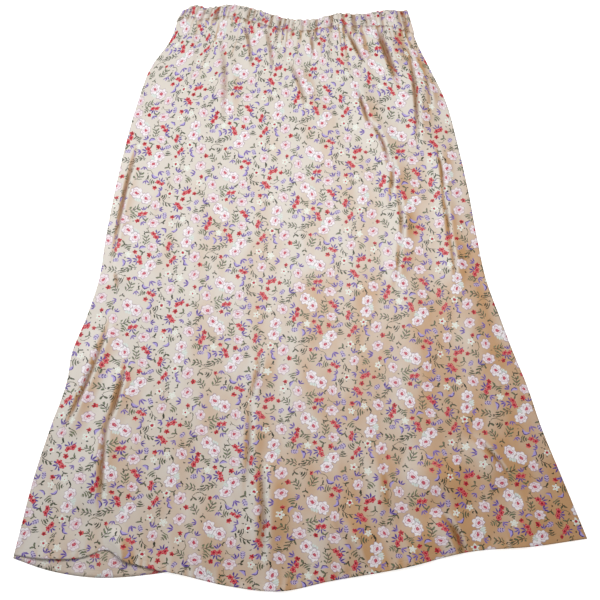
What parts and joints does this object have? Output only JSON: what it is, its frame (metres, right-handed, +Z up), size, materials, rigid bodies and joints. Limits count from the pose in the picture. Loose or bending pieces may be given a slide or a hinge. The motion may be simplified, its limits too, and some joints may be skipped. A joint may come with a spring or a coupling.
{
  "type": "maxi skirt",
  "caption": "Long A-line skirt laid flat, with a gathered elastic waist casing, soft flutes and a plain narrow hem.",
  "frame": {"origin": "on the surface the skirt lies on, below the middle of its outline", "axes": "+Z up out of the cloth, +Y from the hem to the waist, +X to the viewer's right"},
  "size_m": [0.8222, 0.9452, 0.0098],
  "materials": {
    "front_cloth": "champagne satin-back crepe with a small flower print",
    "back_cloth": "the same cloth, its inside seen at the hem",
    "band_cloth": "the same cloth, gathered on elastic"
  },
  "bodies": {
    "root": {"front_panel": "front_cloth", "back_panel": "back_cloth", "waistband": "band_cloth"}
  },
  "joints": []
}
